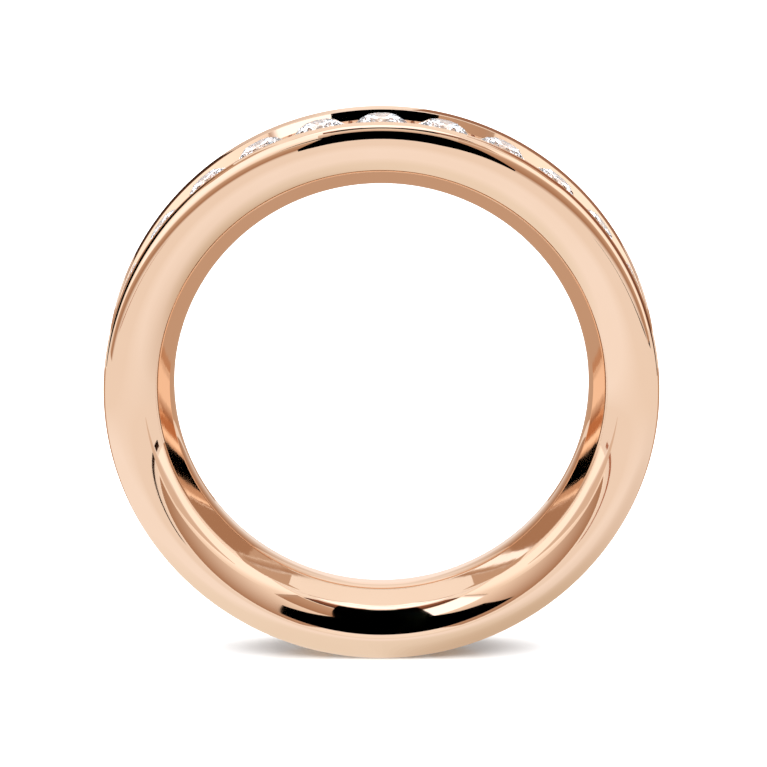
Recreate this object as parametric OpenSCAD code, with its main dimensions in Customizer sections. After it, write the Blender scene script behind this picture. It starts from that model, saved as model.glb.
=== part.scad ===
// Channel-set eternity wedding band: one polished rose-gold ring with a row of round brilliants
// let into a channel between two rails. Millimetres. The ring stands upright: the finger hole
// runs along Y, and the origin is at the middle of the hole.

/* [Finger hole] */
// Diameter of the hole at its narrowest, in the middle of the band
bore_d = 16.9; // [14.9:0.1:19.8]
// Length of the straight part in the middle of the hole
bore_land = 0.3; // [0.2:0.1:0.6]
// Radius that blends the straight part into the flare
flare_blend = 0.7; // [0.6:0.05:0.8]
// Slope of the comfort flare towards each mouth, in degrees
flare_angle = 41; // [34:1:42]

/* [Band] */
// Outside diameter over the rails, before their inner bevels are cut
outer_d = 22.8; // [22.7:0.1:23.0]
// Width of the band along the finger
band_w = 3.6; // [3.5:0.1:3.9]
// Radius of the rounded shoulder between a side face and its rail
shoulder_r = 0.7; // [0.6:0.05:0.8]
// Distance between the two edges where the flare meets the side faces
mouth_w = 2.44; // [2.4:0.02:2.5]

/* [Channel] */
// Depth of the channel floor below the outside of the band
channel_depth = 0.57; // [0.55:0.01:0.6]
// Width of the channel at its floor
channel_floor_w = 2.0; // [1.96:0.02:2.04]
// Width of the channel at the top of its walls
channel_top_w = 2.44; // [2.36:0.02:2.5]
// Height of the channel walls above the floor
channel_wall_h = 0.38; // [0.36:0.01:0.4]
// Slope of the bevel on the inside of each rail, in degrees
rail_bevel_angle = 16; // [12:1:22]
// Length of the notch cut across the floor between two stones, measured round the band
notch_l = 0.16; // [0.12:0.02:0.2]
// Depth of that notch
notch_depth = 0.35; // [0.2:0.05:0.5]

/* [Stones] */
// Number of stones round the band
stone_count = 27; // [24:1:27]
// Diameter of a stone at its girdle
stone_d = 2.1; // [2.06:0.02:2.14]
// Table width as a share of the stone's diameter
table_share = 0.57; // [0.53:0.01:0.6]
// Slope of the crown, in degrees
crown_angle = 34.5; // [32:0.5:36]
// Slope of the pavilion, in degrees
pavilion_angle = 40.8; // [40:0.1:42]
// Thickness of the girdle
girdle_h = 0.06; // [0.05:0.01:0.08]
// Gap between a stone and its seat
seat_gap = 0.01; // [0.005:0.005:0.02]

/* [Hidden] */
$fn = 96;
// how far a cut runs past the surface it opens
eps = 0.01;
clearance = 0.2;

// Band section, with x as the distance from the finger axis and y along that axis
bore_r = bore_d / 2;
outer_r = outer_d / 2;
half_w = band_w / 2;
half_land = bore_land / 2;
half_mouth = mouth_w / 2;
// the side face stands furthest out where the shoulder begins
face_r = outer_r - shoulder_r;
// where the blend ends and the straight flare begins
flare_x = bore_r + flare_blend * (1 - cos(flare_angle));
flare_y = half_land + flare_blend * sin(flare_angle);
// the sharp edge where the flare meets the side face
edge_r = flare_x + (half_mouth - flare_y) * tan(flare_angle);
// the side face is one arc from that edge to face_r
face_rise = half_w - half_mouth;
face_span = face_r - edge_r;
face_arc_r = (face_rise * face_rise + face_span * face_span) / (2 * face_rise);

// Stones, with z = 0 in the middle of the girdle
stone_r = stone_d / 2;
main_facets = 8;
girdle_facets = 4 * main_facets;
facet_a = 360 / main_facets;
half_facet_a = facet_a / 2;
table_r = table_share * stone_r;
crown_h = (stone_r - table_r) * tan(crown_angle);
star_r = (table_r * cos(half_facet_a) + stone_r) / 2;
star_z = girdle_h / 2 + (stone_r - star_r * cos(half_facet_a)) * tan(crown_angle);
// the lower girdle facets run this close to the point
lower_share = 0.24;
lower_r = lower_share * stone_r;
lower_z = -girdle_h / 2 - (stone_r - lower_r * cos(half_facet_a)) * tan(pavilion_angle);
culet_z = -girdle_h / 2 - stone_r * tan(pavilion_angle);

// Channel: the stones sit with their girdles on its floor
floor_r = outer_r - channel_depth;
girdle_r = floor_r + girdle_h / 2;
wall_top_r = floor_r + channel_wall_h;
clear_r = outer_r + clearance;
half_floor = channel_floor_w / 2;
half_top = channel_top_w / 2;
half_clear = half_top + (clear_r - wall_top_r) / tan(rail_bevel_angle);
pitch = 360 / stone_count;

// Seats: a cone under each stone, a groove for its girdle and a small pocket for its point
seat_r = stone_r + seat_gap;
pocket_r = 0.2;
groove_h = girdle_h / 2 + seat_gap;
lip_reach = 0.12;
// each stone is turned this much further in its seat than the one before, as a setter leaves them
stone_turn = 17;

function diamond_name(i) = str("diamond_", i < 10 ? "0" : "", i);

// a point at radius r, angle a and height z
function polar(r, a, z) = [r * cos(a), r * sin(a), z];

// height at (x, y) of the plane through the points p, q and s
function plane_z(p, q, s, x, y) =
    let (n = cross(q - p, s - p)) p[2] - (n[0] * (x - p[0]) + n[1] * (y - p[1])) / n[2];

// a girdle corner on the facet that joins its neighbours to the point apex
function girdle_point(k, z, apex_r, apex_z) =
    let (
        step = 360 / girdle_facets,
        first = 2 * floor(k / 2),
        apex_a = half_facet_a + facet_a * floor(k / 4),
        p = polar(stone_r, first * step, z),
        q = polar(stone_r, (first + 2) * step, z),
        s = polar(apex_r, apex_a, apex_z),
        g = polar(stone_r, k * step, z)
    )
    k % 2 == 0 ? g : [g[0], g[1], plane_z(p, q, s, g[0], g[1])];

// a round brilliant with 57 facets and a fine faceted girdle
module brilliant() {
    last = main_facets - 1;
    points = concat(
        [for (i = [0 : last]) polar(table_r, facet_a * i, girdle_h / 2 + crown_h)],
        [for (i = [0 : last]) polar(star_r, facet_a * i + half_facet_a, star_z)],
        [for (k = [0 : girdle_facets - 1]) girdle_point(k, girdle_h / 2, star_r, star_z)],
        [for (k = [0 : girdle_facets - 1]) girdle_point(k, -girdle_h / 2, lower_r, lower_z)],
        [for (i = [0 : last]) polar(lower_r, facet_a * i + half_facet_a, lower_z)],
        [[0, 0, culet_z]]
    );
    star = main_facets;
    top = star + main_facets;
    bottom = top + girdle_facets;
    lower = bottom + girdle_facets;
    culet = lower + main_facets;
    faces = concat(
        [[for (i = [last : -1 : 0]) i]],
        [for (i = [0 : last]) [i, (i + 1) % main_facets, star + i]],
        [for (i = [0 : last]) [i, star + i, top + 4 * i, star + (i + last) % main_facets]],
        [for (i = [0 : last]) [star + i, top + 4 * i + 2, top + 4 * i + 1, top + 4 * i]],
        [for (i = [0 : last])
            [star + i, top + (4 * i + 4) % girdle_facets, top + 4 * i + 3, top + 4 * i + 2]],
        [for (k = [0 : girdle_facets - 1])
            let (next = (k + 1) % girdle_facets)
            [top + k, top + next, bottom + next, bottom + k]],
        [for (i = [0 : last]) [lower + i, bottom + 4 * i, bottom + 4 * i + 1, bottom + 4 * i + 2]],
        [for (i = [0 : last])
            [lower + i, bottom + 4 * i + 2, bottom + 4 * i + 3, bottom + (4 * i + 4) % girdle_facets]],
        [for (i = [0 : last]) [culet, lower + (i + last) % main_facets, bottom + 4 * i, lower + i]]
    );
    polyhedron(points = points, faces = faces, convexity = 2);
}

// places its children on stone i, with z pointing out of the band
module at_stone(i) {
    rotate([0, pitch * (i - 1), 0])
        translate([0, 0, girdle_r])
            children();
}

// what rounds one side of the band: the blend of the hole, the side face and the shoulder
module side_rounding() {
    intersection() {
        translate([bore_r + flare_blend, half_land]) circle(r = flare_blend);
        translate([bore_r, 0]) square([flare_blend, flare_y]);
    }
    intersection() {
        translate([face_r, half_w - face_arc_r]) circle(r = face_arc_r);
        translate([edge_r, 0]) square([face_span, half_w]);
    }
    translate([face_r, half_w - shoulder_r]) circle(r = shoulder_r);
}

// the section of the plain band
module band_section() {
    // from the finger hole and its flares out to the widest part
    polygon([
        [bore_r, -half_land],
        [flare_x, -flare_y],
        [edge_r, -half_mouth],
        [face_r, -half_mouth],
        [face_r, half_mouth],
        [edge_r, half_mouth],
        [flare_x, flare_y],
        [bore_r, half_land]
    ]);
    // from there out to the crown
    translate([face_r - shoulder_r, shoulder_r - half_w])
        square([2 * shoulder_r, 2 * (half_w - shoulder_r)]);
    side_rounding();
    mirror([0, 1]) side_rounding();
}

module channel_section() {
    polygon([
        [floor_r, -half_floor],
        [wall_top_r, -half_top],
        [clear_r, -half_clear],
        [clear_r, half_clear],
        [wall_top_r, half_top],
        [floor_r, half_floor]
    ]);
}

// turns a section about the finger axis
module turned() {
    rotate([90, 0, 0]) rotate_extrude() children();
}

// what is cut out of the band for one stone
module seat() {
    cone_drop = (seat_r - pocket_r) * tan(pavilion_angle);
    lip_rise = lip_reach * tan(crown_angle);
    rotate_extrude()
        polygon([
            [0, -groove_h - cone_drop],
            [pocket_r, -groove_h - cone_drop],
            [seat_r, -groove_h],
            [seat_r, groove_h],
            [seat_r - lip_reach, groove_h + lip_rise],
            [0, groove_h + lip_rise]
        ]);
}

// the notch across the floor, halfway to the next stone
module notch() {
    rotate([0, pitch / 2, 0])
        translate([-notch_l / 2, -half_floor, floor_r - notch_depth])
            cube([notch_l, channel_floor_w, notch_depth + eps]);
}

module band() {
    color([0.93, 0.72, 0.58])
        difference() {
            turned() band_section();
            turned() channel_section();
            for (i = [1 : stone_count]) {
                at_stone(i) seat();
                rotate([0, pitch * (i - 1), 0]) notch();
            }
        }
}

module diamond(i) {
    color([0.88, 0.92, 0.97])
        at_stone(i)
            rotate([0, 0, stone_turn * i])
                brilliant();
}

band();
for (i = [1 : stone_count])
    diamond(i);
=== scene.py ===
import math

import bmesh
import bpy
import numpy as np
from mathutils import Matrix, Vector


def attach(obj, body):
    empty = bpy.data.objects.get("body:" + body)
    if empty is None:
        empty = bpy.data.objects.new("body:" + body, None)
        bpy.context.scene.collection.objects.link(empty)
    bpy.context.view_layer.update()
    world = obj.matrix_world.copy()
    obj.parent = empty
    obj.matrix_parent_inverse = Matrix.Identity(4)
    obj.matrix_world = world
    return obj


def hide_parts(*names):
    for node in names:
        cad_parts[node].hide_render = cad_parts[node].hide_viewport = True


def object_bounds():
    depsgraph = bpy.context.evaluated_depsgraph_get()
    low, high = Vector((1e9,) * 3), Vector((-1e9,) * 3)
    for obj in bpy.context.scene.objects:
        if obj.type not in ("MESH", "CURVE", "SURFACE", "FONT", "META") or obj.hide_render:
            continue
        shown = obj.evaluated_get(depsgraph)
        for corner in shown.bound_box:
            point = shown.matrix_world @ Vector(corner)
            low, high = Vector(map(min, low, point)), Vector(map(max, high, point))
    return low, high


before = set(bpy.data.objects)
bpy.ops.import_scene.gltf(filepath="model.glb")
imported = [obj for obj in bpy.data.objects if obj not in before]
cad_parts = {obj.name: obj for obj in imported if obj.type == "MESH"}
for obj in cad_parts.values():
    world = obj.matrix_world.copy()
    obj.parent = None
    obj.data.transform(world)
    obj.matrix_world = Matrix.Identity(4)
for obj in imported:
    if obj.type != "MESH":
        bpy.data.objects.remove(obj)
cad_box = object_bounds()

# ---------------------------------------------------------------- sizes, in millimetres
MM = 0.001

BORE_R = 8.45                     # finger hole at its narrowest
HALF_LAND = 0.15                  # half of the straight part of the hole
FLARE_BLEND = 0.7                 # radius between the straight part and the flare
FLARE_ANGLE = math.radians(41)
OUTER_R = 11.4                    # crown, before the rails are bevelled
HALF_W = 1.8                      # half of the band's width
SHOULDER_R = 0.7                  # rounded shoulder between side face and rail
HALF_MOUTH = 1.22                 # sharp edge between flare and side face

HALF_FLOOR = 1.0                  # half of the channel's width at its floor
HALF_TOP = 1.22                   # and at the top of its walls
FLOOR_R = 10.83
WALL_H = 0.38
BEVEL_ANGLE = math.radians(16)
NOTCH_L = 0.16                    # notch across the floor between two stones
NOTCH_DEPTH = 0.35

STONES = 27
STONE_R = 1.05
GIRDLE_H = 0.06
SEAT_GAP = 0.01
POCKET_R = 0.2                    # pocket under the point of a stone
LIP_REACH = 0.12
PAVILION_ANGLE = math.radians(40.8)
CROWN_ANGLE = math.radians(34.5)

EASED_EDGE = 0.03                 # how far polishing has rounded each sharp edge
EASED_MOUTH = 0.14                # and the edge between a side face and the finger hole
STEPS_PER_STONE = 24              # facets of the turned band in one stone's share of it
ON_SURFACE = 0.004                # a face this near the section lies on it
SAME_WAY = 0.97                   # and its normal agrees with the section's by this much
ON_END = 1e-4                     # angle from the end of a share within which a face is its end
WELD = 1e-3                       # points of neighbouring shares closer than this are one point

FACE_R = OUTER_R - SHOULDER_R
WALL_TOP_R = FLOOR_R + WALL_H
GIRDLE_R = FLOOR_R + GIRDLE_H / 2
SEAT_R = STONE_R + SEAT_GAP
GROOVE_H = GIRDLE_H / 2 + SEAT_GAP
PITCH = 2 * math.pi / STONES

# ---------------------------------------------------------------- camera and light, in millimetres
CAMERA_DISTANCE = 228.5
CAMERA_ELEVATION = 15.39          # degrees above the horizon
CAMERA_LENS = 262.8
SENSOR_W = 36
CAMERA_SHIFT = (0.0026, 0.0002)   # as a share of the picture's width
CLIP_NEAR = 10
CLIP_FAR = 10000
FLOOR_SIZE = 16000
TENT_STRENGTH = 1.0
OVERHEAD_POWER = 9.0              # watts
OVERHEAD_HEIGHT = 400
OVERHEAD_SIZE = 900
BACK_CARD_W = 160
BACK_CARD_DEPTH = (2.5, 100)      # from the ring's middle to its near and far edges
LIFT = 0.2                        # of that card over the floor, and of the floor over its glowing sheet
FRONT_DEPTH = 3.4                 # from the ring's middle to the nearest cards in front of it
SEAM_DEPTH = 3.45                 # and to the three layers behind those
BROWN_DEPTH = 3.5
SNOW_DEPTH = 3.55
RAIL_CARD_R = 11.9                # radius of the curved cards over the rails
SPARKLES = 6                      # panels that light only the stones
SPARKLE_SHARE = 0.75              # share of the circle that they cover
SPARKLE_SPAN = (4, 88)            # their lower and upper edges, in degrees above the horizon

TENT_COLOUR = (1.0, 0.99, 0.98)
# what the panels and cards glow with
BLACK = (0.0, 0.0, 0.0)
# near-black brown glow of flags and of the rail cards, whose dark lines are painted reflections in the
# edges of the rails
DEEP_BROWN = (0.06, 0.03, 0.02)
SAND = (0.74, 0.62, 0.54)
SADDLE = (0.42, 0.18, 0.11)
UMBER = (0.42, 0.25, 0.16)
TAN = (0.58, 0.42, 0.32)
CLAY = (0.52, 0.40, 0.33)
CREAM = (0.95, 0.88, 0.82)
BRIGHT = (1.2, 1.2, 1.2)
HOT = (1.5, 1.6, 1.75)
DUSK = (0.58, 0.46, 0.38)
# red-brown glow of the card that paints a dark reflection into the edge of the back rail on the right
RED_BROWN = (0.35, 0.20, 0.14)
PEARL = (0.90, 0.88, 0.88)
WHITE = (1.05, 1.05, 1.08)
SNOW = (1.25, 1.3, 1.38)
ICE = (3.2, 3.4, 3.7)
SHEET_NEAR = (0.99, 1.0, 1.03)
SHEET_FAR = (0.91, 0.88, 0.86)
# the glowing sheet under the ring, a painted reflection of the floor with painted shade close to the ring:
# distance, colour there, and how much warmer it is on its right
SHEET_STOPS = (
    (1, (0.88, 0.88, 0.85), 1.0),
    (9, (0.90, 0.90, 0.87), 1.0),
    (16, SHEET_NEAR, 0.8),
    (30, SHEET_NEAR, 0.4),
    (45, SHEET_FAR, 0.0),
    (400, SHEET_FAR, 0.0),
    (2000, CREAM, 0.0),
)
SHEET_SIDES = 48
WARM_SIDE = 75                    # azimuth of its warmest side
WARM_LOSS = (0.26, 0.33, 0.40)    # what it loses there of red, green and blue

# ---------------------------------------------------------------- surfaces
GOLD = (0.95, 0.70, 0.525)
GOLD_WARM = (0.935, 0.68, 0.50)
POLISH_ROUGHNESS = (0.015, 0.045)
SATIN_ROUGHNESS = (0.3, 0.5)      # what the brushed floor of the channel has on top of that
MARK_STRENGTH = 0.012             # of the bump that turning marks and scratches make
MARK_HEIGHT = 0.01
DIAMOND_IOR = 2.417
DIAMOND_COOL = (0.96, 0.975, 1.0)
DIAMOND_ROUGHNESS = (0.02, 0.07)
FLOOR_COLOUR = (0.8, 0.803, 0.806)
FLOOR_ROUGHNESS = 0.22


# ---------------------------------------------------------------- sections
# A section is a list of runs. A run is a list of (point, normal), both in the plane of the section:
# first the distance from the turning axis, then the place along it. The metal is on the left.
def arc(centre, radius, start, end, steps):
    run = []
    for i in range(steps + 1):
        a = start + (end - start) * i / steps
        n = Vector((math.cos(a), math.sin(a)))
        run.append((centre + radius * n, n))
    return run


def line(p, q):
    d = (q - p).normalized()
    n = Vector((d.y, -d.x))
    return [(p, n), (q, n)]


def shortened(run, reach):
    """The run without the last bit of it, reach long."""
    kept = list(run)
    while (kept[-1][0] - kept[-2][0]).length <= reach:
        reach -= (kept[-1][0] - kept[-2][0]).length
        kept.pop()
    (p, n), (q, m) = kept[-2:]
    t = reach / (q - p).length
    kept[-1] = (q.lerp(p, t), m.lerp(n, t).normalized())
    return kept


def joined(before, after, reach=EASED_EDGE, steps=6):
    """Two runs that meet at an edge, with the edge eased so that it catches light."""
    corner = before[-1][0]
    before = shortened(before, reach)
    after = shortened(after[::-1], reach)[::-1]
    (p, n), (q, m) = before[-1], after[0]
    eased = []
    for i in range(1, steps):
        t = i / steps
        eased.append((p.lerp(corner, t).lerp(corner.lerp(q, t), t), n.lerp(m, t).normalized()))
    return before + eased + after


def half_section():
    """The band from the floor of the channel, over one rail and down to the middle of the hole."""
    bevel_start = Vector((WALL_TOP_R, HALF_TOP))
    bevel_way = Vector((math.sin(BEVEL_ANGLE), math.cos(BEVEL_ANGLE)))
    shoulder = Vector((FACE_R, HALF_W - SHOULDER_R))
    to_start = bevel_start - shoulder
    along = to_start.dot(bevel_way)
    reach = -along + math.sqrt(along ** 2 - to_start.length_squared + SHOULDER_R ** 2)
    ridge = bevel_start + reach * bevel_way
    ridge_angle = math.atan2(ridge.y - shoulder.y, ridge.x - shoulder.x)

    blend = Vector((BORE_R + FLARE_BLEND, HALF_LAND))
    flare_start = blend + FLARE_BLEND * Vector((-math.cos(FLARE_ANGLE), math.sin(FLARE_ANGLE)))
    edge_r = flare_start.x + (HALF_MOUTH - flare_start.y) * math.tan(FLARE_ANGLE)
    edge = Vector((edge_r, HALF_MOUTH))
    rise, span = HALF_W - HALF_MOUTH, FACE_R - edge_r
    face_arc_r = (rise ** 2 + span ** 2) / (2 * rise)
    face = Vector((FACE_R, HALF_W - face_arc_r))
    edge_angle = math.atan2(edge.y - face.y, edge.x - face.x)

    run = joined(line(Vector((FLOOR_R, HALF_FLOOR)), bevel_start), line(bevel_start, ridge))
    run = joined(run, arc(shoulder, SHOULDER_R, ridge_angle, math.pi / 2, steps=18))
    run += arc(face, face_arc_r, math.pi / 2, edge_angle, steps=26)[1:]
    run = joined(run, line(edge, flare_start), EASED_MOUTH)
    run += arc(blend, FLARE_BLEND, math.pi - FLARE_ANGLE, math.pi, steps=14)[1:]
    return run + [(Vector((BORE_R, 0)), Vector((-1, 0)))]


def band_section():
    half = half_section()
    other = [(Vector((p.x, -p.y)), Vector((n.x, -n.y))) for p, n in half[-2::-1]]
    return half + other


def seat_section():
    drop = (SEAT_R - POCKET_R) * math.tan(PAVILION_ANGLE)
    lip = LIP_REACH * math.tan(CROWN_ANGLE)
    corners = [
        (0, -GROOVE_H - drop),
        (POCKET_R, -GROOVE_H - drop),
        (SEAT_R, -GROOVE_H),
        (SEAT_R, GROOVE_H),
        (SEAT_R - LIP_REACH, GROOVE_H + lip),
        (0, GROOVE_H + lip),
    ]
    return [Vector(c) for c in corners]


# ---------------------------------------------------------------- one stone's share of the band
def on_band(point, angle):
    """A point of the band's section, turned round the finger axis by angle from the top."""
    return Vector((point.x * math.sin(angle), point.y, point.x * math.cos(angle)))


def mesh_object(name, bm):
    mesh = bpy.data.meshes.new(name)
    bm.to_mesh(mesh)
    bm.free()
    obj = bpy.data.objects.new(name, mesh)
    bpy.context.scene.collection.objects.link(obj)
    return obj


def plain_share(section):
    """A wedge of the band as it is turned, before the seats are cut."""
    bm = bmesh.new()
    rings = []
    for j in range(STEPS_PER_STONE + 1):
        angle = PITCH * (j / STEPS_PER_STONE - 0.5)
        rings.append([bm.verts.new(on_band(p, angle)) for p, _ in section])
    count = len(section)
    for a, b in zip(rings, rings[1:]):
        for k in range(count):
            bm.faces.new((a[k], a[(k + 1) % count], b[(k + 1) % count], b[k]))
    bm.faces.new(rings[0])
    bm.faces.new(rings[-1])
    bmesh.ops.recalc_face_normals(bm, faces=bm.faces)
    return mesh_object("share", bm)


def seat_cutter(steps=64):
    bm = bmesh.new()
    corners = seat_section()
    low = bm.verts.new((0, 0, GIRDLE_R + corners[0].y))
    high = bm.verts.new((0, 0, GIRDLE_R + corners[-1].y))
    rings = []
    for j in range(steps):
        a = 2 * math.pi * (j + 0.5) / steps
        rings.append([
            bm.verts.new((c.x * math.cos(a), c.x * math.sin(a), GIRDLE_R + c.y))
            for c in corners[1:-1]
        ])
    for j in range(steps):
        a, b = rings[j], rings[(j + 1) % steps]
        bm.faces.new((low, a[0], b[0]))
        bm.faces.new((high, a[-1], b[-1]))
        for k in range(len(a) - 1):
            bm.faces.new((a[k], a[k + 1], b[k + 1], b[k]))
    bmesh.ops.recalc_face_normals(bm, faces=bm.faces)
    return mesh_object("seat_cutter", bm)


def notch_cutter(side):
    bm = bmesh.new()
    bmesh.ops.create_cube(bm, size=1)
    size = Vector((NOTCH_L, 2 * HALF_FLOOR, 2 * NOTCH_DEPTH))
    place = Matrix.Rotation(side * PITCH / 2, 4, "Y") @ Matrix.Translation((0, 0, FLOOR_R))
    bmesh.ops.transform(bm, matrix=place @ Matrix.Diagonal(size.to_4d()), verts=bm.verts)
    return mesh_object("notch_cutter", bm)


def cut_share(share, cutters):
    """The mesh of the share less its cutters, which are removed along with it."""
    for cutter in cutters:
        cut = share.modifiers.new(cutter.name, "BOOLEAN")
        cut.operation = "DIFFERENCE"
        cut.solver = "EXACT"
        cut.object = cutter
    depsgraph = bpy.context.evaluated_depsgraph_get()
    mesh = bpy.data.meshes.new_from_object(share.evaluated_get(depsgraph))
    for obj in [share, *cutters]:
        bpy.data.objects.remove(obj)
    return mesh


def section_segments():
    """The section as (start, end, normal at start, normal at end), the channel's floor first."""
    section = band_section()
    outward = Vector((1, 0))
    floor = (section[-1][0], section[0][0], outward, outward)
    return [floor] + [(p, q, n, m) for (p, n), (q, m) in zip(section, section[1:])]


def turned_normals(mesh):
    """One normal for each corner of the share's faces: that of the turned surface where the face
    lies on it, and the face's own on a seat or a notch."""
    segments = section_segments()
    start = np.array([s[0] for s in segments])
    way = np.array([s[1] for s in segments]) - start
    length_sq = (way ** 2).sum(1)
    normal_a = np.array([s[2] for s in segments])
    normal_b = np.array([s[3] for s in segments])

    def nearest(r, y):
        t = np.clip(((np.array([r, y]) - start) * way).sum(1) / length_sq, 0, 1)
        return np.hypot(*(start + way * t[:, None] - [r, y]).T), t

    normals = []
    for face in mesh.polygons:
        centre, flat = face.center, face.normal
        r = math.hypot(centre.x, centre.z)
        outward = np.array([(centre.x * flat.x + centre.z * flat.z) / r, flat.y])
        gap, t = nearest(r, centre.y)
        smooth = normal_a * (1 - t)[:, None] + normal_b * t[:, None]
        smooth /= np.linalg.norm(smooth, axis=1)[:, None]
        fits = (gap < ON_SURFACE) & (smooth @ outward > SAME_WAY)
        if not fits.any():
            normals += [flat.copy()] * face.loop_total
            continue
        k = int(np.argmin(np.where(fits, gap, np.inf)))
        for v in face.vertices:
            co = mesh.vertices[v].co
            r = math.hypot(co.x, co.z)
            t = np.clip((np.array([r, co.y]) - start[k]) @ way[k] / length_sq[k], 0, 1)
            n_r, n_y = normal_a[k] * (1 - t) + normal_b[k] * t
            normals.append(Vector((n_r * co.x / r, n_y, n_r * co.z / r)).normalized())
    return normals


def make_band():
    """The whole band: one stone's share, cut once and repeated round the finger axis."""
    cutters = [seat_cutter(), notch_cutter(-1), notch_cutter(1)]
    share = cut_share(plain_share(band_section()), cutters)
    normals = turned_normals(share)
    half_share = PITCH / 2
    points, faces, face_normals = [], [], []
    for i in range(STONES):
        turn = Matrix.Rotation(PITCH * i, 3, "Y")
        first = len(points)
        points += [(turn @ v.co) * MM for v in share.vertices]
        corner = 0
        for face in share.polygons:
            places = [share.vertices[v].co for v in face.vertices]
            on_end = all(abs(abs(math.atan2(p.x, p.z)) - half_share) < ON_END for p in places)
            if not on_end:
                faces.append([first + v for v in face.vertices])
                face_normals.append([turn @ n for n in normals[corner:corner + face.loop_total]])
            corner += face.loop_total

    mesh = bpy.data.meshes.new("polished_band")
    mesh.from_pydata(points, [], faces)
    marks = mesh.attributes.new("turned", "FLOAT_VECTOR", "CORNER")
    marks.data.foreach_set("vector", [x for ns in face_normals for n in ns for x in n])
    bm = bmesh.new()
    bm.from_mesh(mesh)
    bmesh.ops.remove_doubles(bm, verts=bm.verts, dist=WELD * MM)
    bm.to_mesh(mesh)
    bm.free()
    for face in mesh.polygons:
        face.use_smooth = True
    kept = [Vector(mark.vector) for mark in mesh.attributes["turned"].data]
    mesh.normals_split_custom_set(kept)
    mesh.attributes.remove(mesh.attributes["turned"])
    band = bpy.data.objects.new("polished_band", mesh)
    bpy.context.scene.collection.objects.link(band)
    return band


# ---------------------------------------------------------------- materials
def new_material(name):
    mat = bpy.data.materials.new(name)
    mat.use_nodes = True
    return mat, mat.node_tree.nodes, mat.node_tree.links


def noise(nodes, links, coords, scale, detail=2.0):
    """Noise round 0.5, with scale waves to the metre."""
    tex = nodes.new("ShaderNodeTexNoise")
    tex.inputs["Scale"].default_value = scale
    tex.inputs["Detail"].default_value = detail
    links.new(coords, tex.inputs["Vector"])
    return tex.outputs["Fac"]


def ranged(nodes, links, value, low, high):
    """Noise spread over low to high. Nearly all of it lies between 0.3 and 0.7 before."""
    remap = nodes.new("ShaderNodeMapRange")
    remap.inputs["From Min"].default_value = 0.3
    remap.inputs["From Max"].default_value = 0.7
    remap.inputs["To Min"].default_value = low
    remap.inputs["To Max"].default_value = high
    links.new(value, remap.inputs["Value"])
    return remap.outputs["Result"]


def math_node(nodes, links, operation, a, b):
    node = nodes.new("ShaderNodeMath")
    node.operation = operation
    for socket, value in zip(node.inputs, (a, b)):
        if isinstance(value, (int, float)):
            socket.default_value = value
        else:
            links.new(value, socket)
    return node.outputs[0]


def rose_gold():
    """Mirror-polished rose gold with the fine turning marks of its last polish, and a duller,
    brushed finish on the floor of the channel and below it, where a polishing wheel doesn't reach."""
    mat, nodes, links = new_material("rose_gold_polished")
    gold = nodes["Principled BSDF"]
    gold.inputs["Metallic"].default_value = 1.0
    gold.inputs["IOR"].default_value = 1.45

    place = nodes.new("ShaderNodeTexCoord").outputs["Object"]
    split = nodes.new("ShaderNodeSeparateXYZ")
    links.new(place, split.inputs[0])
    flat = nodes.new("ShaderNodeCombineXYZ")
    links.new(split.outputs["X"], flat.inputs["X"])
    links.new(split.outputs["Z"], flat.inputs["Z"])
    size = nodes.new("ShaderNodeVectorMath")
    size.operation = "LENGTH"
    links.new(flat.outputs[0], size.inputs[0])
    radius = size.outputs["Value"]

    tint = nodes.new("ShaderNodeMixRGB")
    tint.inputs["Color1"].default_value = (*GOLD, 1)
    tint.inputs["Color2"].default_value = (*GOLD_WARM, 1)
    links.new(ranged(nodes, links, noise(nodes, links, place, 260), 0, 1), tint.inputs["Fac"])
    links.new(tint.outputs[0], gold.inputs["Base Color"])

    off_middle = math_node(nodes, links, "ABSOLUTE", split.outputs["Y"], 0)
    between_walls = math_node(nodes, links, "LESS_THAN", off_middle, HALF_TOP * MM)
    below_floor = math_node(nodes, links, "LESS_THAN", radius, (FLOOR_R + ON_SURFACE) * MM)
    outside_hole = math_node(nodes, links, "GREATER_THAN", radius, (BORE_R + FLARE_BLEND) * MM)
    in_channel = math_node(nodes, links, "MULTIPLY", between_walls, below_floor)
    satin = math_node(nodes, links, "MULTIPLY", in_channel, outside_hole)
    polish = ranged(nodes, links, noise(nodes, links, place, 900, 4), *POLISH_ROUGHNESS)
    grain = ranged(nodes, links, noise(nodes, links, place, 7000, 4), *SATIN_ROUGHNESS)
    dull = math_node(nodes, links, "MULTIPLY", satin, grain)
    links.new(math_node(nodes, links, "ADD", polish, dull), gold.inputs["Roughness"])

    turned = nodes.new("ShaderNodeCombineXYZ")
    links.new(radius, turned.inputs["X"])
    links.new(split.outputs["Y"], turned.inputs["Y"])
    marks = noise(nodes, links, turned.outputs[0], 9000, 3)
    scratches = noise(nodes, links, place, 4200, 6)
    bump = nodes.new("ShaderNodeBump")
    bump.inputs["Strength"].default_value = MARK_STRENGTH
    bump.inputs["Distance"].default_value = MARK_HEIGHT * MM
    links.new(math_node(nodes, links, "ADD", marks, scratches), bump.inputs["Height"])
    links.new(bump.outputs[0], gold.inputs["Normal"])
    return mat


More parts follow.
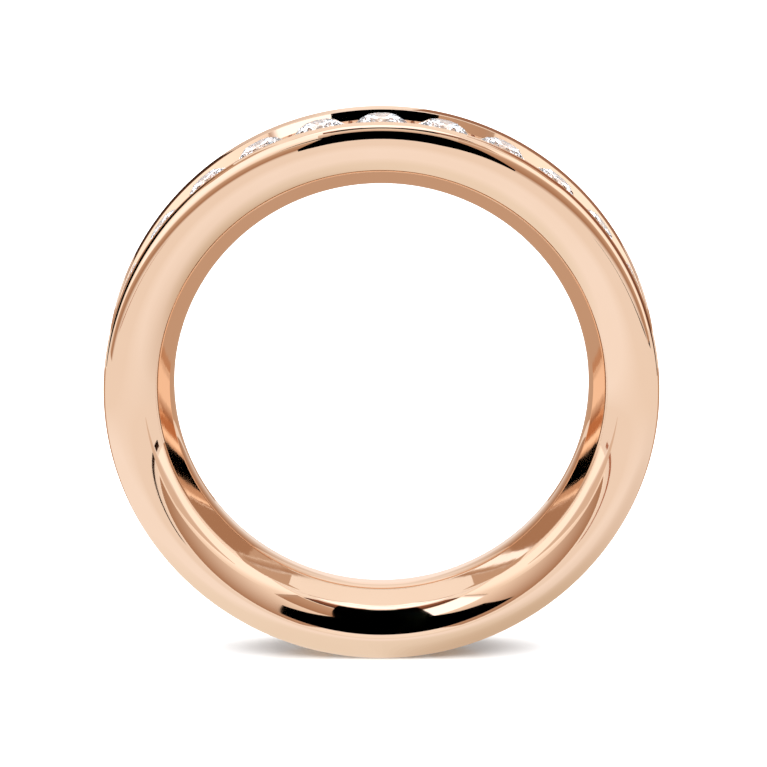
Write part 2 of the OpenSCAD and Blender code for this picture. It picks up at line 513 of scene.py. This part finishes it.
def diamond():
    """Clear, faintly cool stone, with the trace of unevenness that its polish leaves."""
    mat, nodes, links = new_material("diamond_polished")
    stone = nodes["Principled BSDF"]
    stone.inputs["Transmission Weight"].default_value = 1.0
    stone.inputs["IOR"].default_value = DIAMOND_IOR
    place = nodes.new("ShaderNodeTexCoord").outputs["Object"]
    tint = nodes.new("ShaderNodeMixRGB")
    tint.inputs["Color1"].default_value = (1.0, 1.0, 1.0, 1)
    tint.inputs["Color2"].default_value = (*DIAMOND_COOL, 1)
    links.new(ranged(nodes, links, noise(nodes, links, place, 700), 0, 1), tint.inputs["Fac"])
    links.new(tint.outputs[0], stone.inputs["Base Color"])
    polish = ranged(nodes, links, noise(nodes, links, place, 2500), *DIAMOND_ROUGHNESS)
    links.new(polish, stone.inputs["Roughness"])
    return mat


def studio_floor():
    mat, nodes, _ = new_material("studio_floor")
    sheet = nodes["Principled BSDF"]
    sheet.inputs["Base Color"].default_value = (*FLOOR_COLOUR, 1)
    sheet.inputs["Roughness"].default_value = FLOOR_ROUGHNESS
    return mat


def glow(name):
    """Light of the colour stored in the mesh, from its front only."""
    mat, nodes, links = new_material(name)
    nodes.clear()
    tint = nodes.new("ShaderNodeVertexColor")
    tint.layer_name = "glow"
    shine = nodes.new("ShaderNodeEmission")
    links.new(tint.outputs["Color"], shine.inputs["Color"])
    one_sided = nodes.new("ShaderNodeMixShader")
    links.new(nodes.new("ShaderNodeNewGeometry").outputs["Backfacing"], one_sided.inputs["Fac"])
    links.new(shine.outputs[0], one_sided.inputs[1])
    links.new(nodes.new("ShaderNodeBsdfTransparent").outputs[0], one_sided.inputs[2])
    links.new(one_sided.outputs[0], nodes.new("ShaderNodeOutputMaterial").inputs["Surface"])
    mat.cycles.emission_sampling = "NONE"
    return mat


# ---------------------------------------------------------------- studio
def toward(azimuth, elevation):
    """A direction: azimuth 0 is the camera's side, 90 is +X, 180 is behind; both in degrees."""
    a, e = math.radians(azimuth), math.radians(elevation)
    return Vector((math.sin(a) * math.cos(e), -math.cos(a) * math.cos(e), math.sin(e)))


def only_in_reflections(piece):
    piece.visible_camera = False
    piece.visible_diffuse = False
    piece.visible_shadow = False


def card(name, rows, closed=False):
    """A sheet that only the ring sees, and only from its front. Each row is a list of places, in
    millimetres, with the colour at each. The rows of a closed one are rings, the last one filled."""
    bm = bmesh.new()
    tint = bm.verts.layers.float_color.new("glow")
    grid = []
    for row in rows:
        verts = []
        for place, colour in row:
            v = bm.verts.new(place * MM)
            v[tint] = (*colour, 1)
            verts.append(v)
        grid.append(verts)
    count = len(grid[0])
    for a, b in zip(grid, grid[1:]):
        for i in range(count if closed else count - 1):
            j = (i + 1) % count
            bm.faces.new((a[i], a[j], b[j], b[i]))
    if closed:
        bm.faces.new(grid[-1])
    piece = mesh_object(name, bm)
    piece.data.materials.append(glow(name))
    only_in_reflections(piece)
    return piece


def panel(name, corners, foot, head, distance, fade=0.0, around=CLAY, only_through=False, steps=24):
    """A curved studio panel round the ring, seen only in its reflections: bright as a soft box or
    black as a flag. Its corners are foot left, foot right, head right and head left, each an
    azimuth from the camera's side toward +X and an elevation. Its colour runs from foot to head,
    and falls to the colour around it over a share of its width, fade, at both sides. One with
    only_through lights the stones from inside, and isn't mirrored in the metal."""
    foot_left, foot_right, head_right, head_left = [Vector(c) for c in corners]
    rows = []
    for j in range(steps, -1, -1):
        up = j / steps
        left, right = foot_left.lerp(head_left, up), foot_right.lerp(head_right, up)
        row = []
        for i in range(steps + 1):
            across = i / steps
            inside = min(1.0, min(across, 1 - across) / fade) if fade else 1.0
            inside = inside * inside * (3 - 2 * inside)
            colour = Vector(around).lerp(Vector(foot).lerp(Vector(head), up), inside)
            row.append((toward(*left.lerp(right, across)) * distance, colour))
        rows.append(row)
    card(name, rows).visible_glossy = not only_through


def pair(name, corners, *colours, **more):
    """A panel on the left and its mirror image on the right."""
    panel("left_" + name, corners, *colours, **more)
    foot_left, foot_right, head_right, head_left = [(-a, e) for a, e in corners]
    panel("right_" + name, (foot_right, foot_left, head_left, head_right), *colours, **more)


def make_panels():
    """The far surroundings. Each panel hides what stands further away behind it."""
    pair("side", ((-97, 0), (-5, 0), (-5, 32), (-97, 32)), UMBER, CREAM, distance=500)
    pair("top", ((-97, 32), (-5, 32), (-5, 50), (-97, 50)), CREAM, CREAM, distance=500)
    panel("behind", ((97, -10), (263, -10), (263, 42), (97, 42)), PEARL, PEARL,
          distance=500, fade=0.5, around=UMBER)
    panel("behind_top", ((97, 42), (263, 42), (263, 62), (97, 62)), PEARL, PEARL,
          distance=500, fade=0.3, around=SAND)
    panel("window", ((162, -2), (198, -2), (196, 50), (164, 50)), WHITE, WHITE,
          distance=470, fade=0.2, around=PEARL)
    pair("box", ((-80, -3), (-46, -3), (-24, 48), (-80, 48)), BRIGHT, BRIGHT,
         distance=480, fade=0.3, around=CREAM)
    panel("left_strip", ((-28, 31), (-9, 31), (-10, 47), (-36, 47)), HOT, HOT, distance=470, fade=0.15)
    panel("right_strip", ((9, 31), (28, 31), (36, 47), (10, 47)), UMBER, TAN, distance=470, fade=0.15)
    panel("glow", ((-50, 59), (50, 59), (40, 72), (-40, 72)), HOT, HOT, distance=460, fade=0.1)
    pair("edge", ((-34, 48), (-8, 48), (-8, 58), (-34, 55)), DEEP_BROWN, SADDLE, distance=450)
    pair("shade", ((-82, 38), (-64, 40), (-62, 60), (-82, 56)), TAN, TAN, distance=440)
    panel("left_dark", ((-97, -4), (-81, -4), (-81, 18), (-97, 18)), CREAM, UMBER, distance=430)
    panel("left_dark_top", ((-97, 18), (-81, 18), (-81, 50), (-97, 50)), UMBER, UMBER, distance=430)
    panel("right_dark", ((81, -4), (97, -4), (97, 50), (81, 50)), UMBER, UMBER, distance=430)
    panel("left_base", ((-60, -5), (-14, -5), (-14, -4.2), (-60, -3.8)), SADDLE, SADDLE, distance=130)
    panel("right_base", ((14, -5), (64, -5), (64, -3.2), (14, -4.2)), BLACK, DEEP_BROWN, distance=130)
    panel("flag_low", ((-13, 5), (9, 5), (17, 20), (-18, 20)), BLACK, BLACK, distance=400)
    panel("flag_middle", ((-18, 20), (17, 20), (11, 31), (-12, 31)), BLACK, BLACK, distance=400)
    panel("flag_high", ((-12, 31), (11, 31), (22, 56), (-18, 56)), BLACK, BLACK, distance=400)

    foot, head = SPARKLE_SPAN
    for number in range(SPARKLES):
        side = 360 * number / SPARKLES
        wide = SPARKLE_SHARE * 180 / SPARKLES
        left, right = side - wide, side + wide
        panel(f"sparkle_{number}", ((left, foot), (right, foot), (right, head), (left, head)), ICE, ICE,
              distance=390, only_through=True)


def spread(stations, steps):
    """The stations with evenly spaced ones between them."""
    places = [Vector(stations[0])]
    for start, end in zip(stations, stations[1:]):
        places += [Vector(start).lerp(Vector(end), (i + 1) / steps) for i in range(steps)]
    return places


def front_card(name, stations, stops, depth=FRONT_DEPTH, steps=8):
    """A flat card just in front of the ring, where only the edges nearest to it mirror it. Each
    station is an angle round the finger axis, from the top toward +X, and the card's two distances
    from that axis. The stops are its colours from the first distance to the second."""
    rows = []
    for angle, low, high in spread(stations, steps):
        a = math.radians(angle)
        row = []
        for share, colour in stops:
            r = low + (high - low) * share
            row.append((Vector((r * math.sin(a), -depth, r * math.cos(a))), colour))
        rows.append(row)
    card(name, rows).visible_transmission = False


def rail_card(name, stations, colour, end_colour=None, steps=8):
    """A narrow curved card just above one rail, where only the edge of that rail mirrors it. Each
    station is an angle round the finger axis and the two places along that axis between which the
    card stands there. Its colour runs from the first station to the last."""
    places = spread(stations, steps)
    rows = []
    for i, (angle, low, high) in enumerate(places):
        x, z = RAIL_CARD_R * math.sin(math.radians(angle)), RAIL_CARD_R * math.cos(math.radians(angle))
        here = Vector(colour).lerp(Vector(end_colour or colour), i / (len(places) - 1))
        rows.append([(Vector((x, y, z)), here) for y in (low, high)])
    card(name, rows).visible_transmission = False


def make_cards():
    """The cards close to the ring. They are mirrored only in its upper shoulders, in the mouth of
    its hole and in the edges of its rails, each in the one that it stands next to."""
    front_card("flag_card", ((-19, 10.25, 10.6), (-15, 10.2, 11.2), (-11, 10.2, 12.0), (14, 10.2, 12.0),
               (22, 10.35, 11.6), (31, 10.6, 10.9)), ((0, BLACK), (1, BLACK)))
    front_card("seam_card", ((-14, 11.9, 13), (17, 11.9, 13)), ((0, DUSK), (1, CREAM)), SEAM_DEPTH)
    brown = ((0, SHEET_FAR), (0.25, UMBER), (0.8, TAN), (1, CREAM))
    front_card("left_brown_card", ((-86, 12.9, 17), (-76, 12.0, 16), (-66, 11.5, 14), (-56, 11.0, 12.7),
               (-46, 10.6, 12.2), (-36, 10.35, 11.9), (-26, 10.25, 11.7), (-13, 10.2, 11.6)),
               brown, BROWN_DEPTH)
    front_card("right_brown_card", ((14, 10.3, 12.8), (26, 10.3, 12.8), (36, 10.4, 13.2), (46, 10.7, 13.6),
               (56, 11.1, 14), (66, 11.6, 14.4), (76, 12.1, 15), (82, 12.9, 15)), brown, BROWN_DEPTH)
    front_card("left_snow_card", ((-64, 13, 16), (-56, 12.5, 16), (-46, 12.0, 16), (-36, 11.7, 16),
               (-26, 11.7, 16), (-13, 11.9, 15)), ((0, CREAM), (0.25, SNOW), (1, SNOW)), SNOW_DEPTH)
    sand = ((0, SHEET_NEAR), (0.35, SAND), (1, SAND))
    front_card("left_bore_card", ((-145, 6.9, 7.0), (-124, 6.0, 7.8), (-102, 7.4, 7.5)), sand)
    front_card("right_bore_card", ((102, 7.4, 7.5), (124, 6.0, 7.8), (145, 6.9, 7.0)), sand)

    rail_card("left_ridge_card", ((-85, -1.62, -1.56), (-74, -1.78, -1.5), (-58, -1.8, -1.48),
              (-46, -1.72, -1.46), (-37, -1.56, -1.5)), BLACK)
    rail_card("right_ridge_card", ((18, -1.6, -1.56), (32, -1.68, -1.46), (60, -1.76, -1.46),
              (76, -1.76, -1.5), (87, -1.62, -1.56)), SADDLE, DEEP_BROWN)
    rail_card("left_rim_card", ((-74, 1.7, 1.75), (-64, 1.55, 2.3), (-40, 1.5, 2.3),
              (-27, 1.7, 1.75)), DEEP_BROWN)
    rail_card("right_rim_card", ((2, 1.7, 1.75), (14, 1.6, 2.3), (60, 1.6, 2.3),
              (76, 1.7, 1.75)), RED_BROWN)


def make_back_card(floor_z):
    """A glowing tan sheet on the floor behind the ring, which the inside of the band reflects: painted
    shade in that reflection of the floor.
    """
    x, z = BACK_CARD_W / 2, floor_z / MM + LIFT
    card("back_card", [[(Vector((side, y, z)), TAN) for side in (-x, x)] for y in BACK_CARD_DEPTH])


def make_floor(floor_z):
    """The floor that the camera sees, and just under it a glowing sheet, which the ring reflects in the
    floor's place: a painted reflection of the floor, with painted shade close to the ring.
    """
    half = FLOOR_SIZE * MM / 2
    mesh = bpy.data.meshes.new("floor")
    corners = [(-half, -half), (half, -half), (half, half), (-half, half)]
    mesh.from_pydata([(x, y, floor_z) for x, y in corners], [], [(0, 1, 2, 3)])
    floor = bpy.data.objects.new("floor", mesh)
    bpy.context.scene.collection.objects.link(floor)
    floor.data.materials.append(studio_floor())
    floor.visible_glossy = False
    floor.visible_transmission = False

    below = Vector((0, 0, floor_z / MM - LIFT))
    rings = []
    for distance, colour, warmth in SHEET_STOPS[::-1]:
        ring = []
        for i in range(SHEET_SIDES):
            side = 360 * i / SHEET_SIDES
            warm = warmth * max(0, math.cos(math.radians(side - WARM_SIDE))) ** 2
            here = [c * (1 - warm * w) for c, w in zip(colour, WARM_LOSS)]
            ring.append((toward(side, 0) * distance + below, here))
        rings.append(ring)
    # the glowing sheet: a painted reflection of the floor, darker close to the ring and darker, warmer
    # toward WARM_SIDE
    card("painted_floor_reflection", rings, closed=True)


def look_at_ring(piece):
    piece.rotation_euler = (-piece.location).to_track_quat("-Z", "Y").to_euler()


def make_overhead():
    """A soft light over the ring, which only the floor sees."""
    light = bpy.data.lights.new("overhead", "AREA")
    light.shape = "SQUARE"
    light.size = OVERHEAD_SIZE * MM
    light.energy = OVERHEAD_POWER
    lamp = bpy.data.objects.new("overhead", light)
    lamp.location = toward(0, 90) * OVERHEAD_HEIGHT * MM
    look_at_ring(lamp)
    lamp.visible_glossy = False
    lamp.visible_transmission = False
    bpy.context.scene.collection.objects.link(lamp)


def make_world():
    world = bpy.data.worlds.new("white_tent")
    world.use_nodes = True
    tent = world.node_tree.nodes["Background"]
    tent.inputs["Color"].default_value = (*TENT_COLOUR, 1)
    tent.inputs["Strength"].default_value = TENT_STRENGTH
    bpy.context.scene.world = world


def make_camera():
    lens = bpy.data.cameras.new("photo_view")
    lens.sensor_width = SENSOR_W
    lens.lens = CAMERA_LENS
    lens.shift_x, lens.shift_y = CAMERA_SHIFT
    lens.clip_start = CLIP_NEAR * MM
    lens.clip_end = CLIP_FAR * MM
    camera = bpy.data.objects.new("photo_view", lens)
    camera.location = toward(0, CAMERA_ELEVATION) * CAMERA_DISTANCE * MM
    look_at_ring(camera)
    bpy.context.scene.collection.objects.link(camera)
    bpy.context.scene.camera = camera


# ---------------------------------------------------------------- the scene
gold = rose_gold()
band = make_band()
band.data.materials.append(gold)
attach(band, "root")
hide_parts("band")

clear = diamond()
for name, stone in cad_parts.items():
    if name.startswith("diamond"):
        for slot in stone.material_slots:
            slot.material = clear

make_camera()
make_floor(cad_box[0].z)
make_world()
make_overhead()
make_back_card(cad_box[0].z)
make_panels()
make_cards()

bpy.context.scene.view_settings.view_transform = "Standard"
bpy.context.scene.cycles.glossy_bounces = 8
bpy.context.scene.cycles.transmission_bounces = 16
bpy.context.scene.cycles.max_bounces = 16
